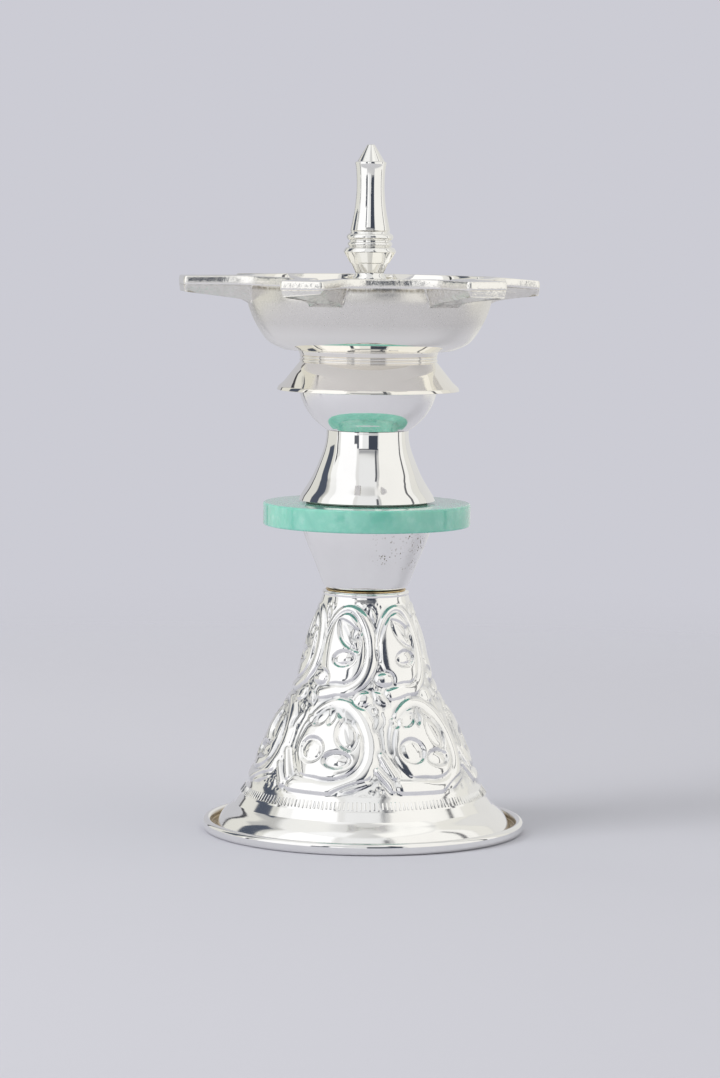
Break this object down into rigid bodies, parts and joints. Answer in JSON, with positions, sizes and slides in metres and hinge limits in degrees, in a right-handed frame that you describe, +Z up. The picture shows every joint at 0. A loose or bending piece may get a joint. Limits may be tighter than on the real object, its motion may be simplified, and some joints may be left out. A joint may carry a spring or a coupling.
{
  "type": "standing oil lamp",
  "caption": "Standing oil lamp: a round embossed cone foot, a stacked metal stem with a stone disc and drip collar, and a shallow bowl with wick spouts round a turned finial.",
  "frame": {"origin": "centre of the base plate's flat underside, on the lamp's axis", "axes": "+Z up along the lamp's axis, -Y towards the front, +X to the right seen from the front"},
  "size_m": [0.0905, 0.0922, 0.1721],
  "materials": {
    "silver_plate": "mirror-polished silver plate",
    "gold_line": "bare polished brass edge",
    "plain_brass": "threaded brass, unpolished",
    "steel": "zinc-plated fastener",
    "green_stone": "polished translucent green stone",
    "felt": "thin pressed felt",
    "seal": "oil-proof rubber"
  },
  "bodies": {
    "stand": {"base_plate": "silver_plate", "base_cone": "silver_plate", "joint_ring": "gold_line", "stem_cone": "silver_plate", "lower_cushion": "felt", "stone_disc": "green_stone", "upper_cushion": "felt", "bell": "silver_plate", "stem_bead": "silver_plate", "drip_collar": "silver_plate", "tie_rod": "plain_brass", "lower_washer": "steel", "lower_nut": "steel", "stem_washer": "steel", "stem_nut": "steel"},
    "bowl": {"bowl": "silver_plate"},
    "seal": {"seal_washer": "seal"},
    "finial": {"finial": "silver_plate"}
  },
  "joints": [
    {"name": "bowl_lift", "type": "slide", "parent": "stand", "child": "bowl", "axis": [0, 0, 1], "range_m": [0, 0.045]},
    {"name": "finial_rise", "type": "slide", "parent": "bowl", "child": "seal", "axis": [0, 0, 1], "range_m": [0, 0.0078]},
    {"name": "finial_turn", "type": "hinge", "parent": "seal", "child": "finial", "pos_m": [0, 0, 0.1241], "axis": [0, 0, 1], "range_deg": [0, 3960]}
  ],
  "couplings": [
    {"joint": "finial_rise", "follows": "finial_turn", "m_per_rad": 0.00011141}
  ]
}
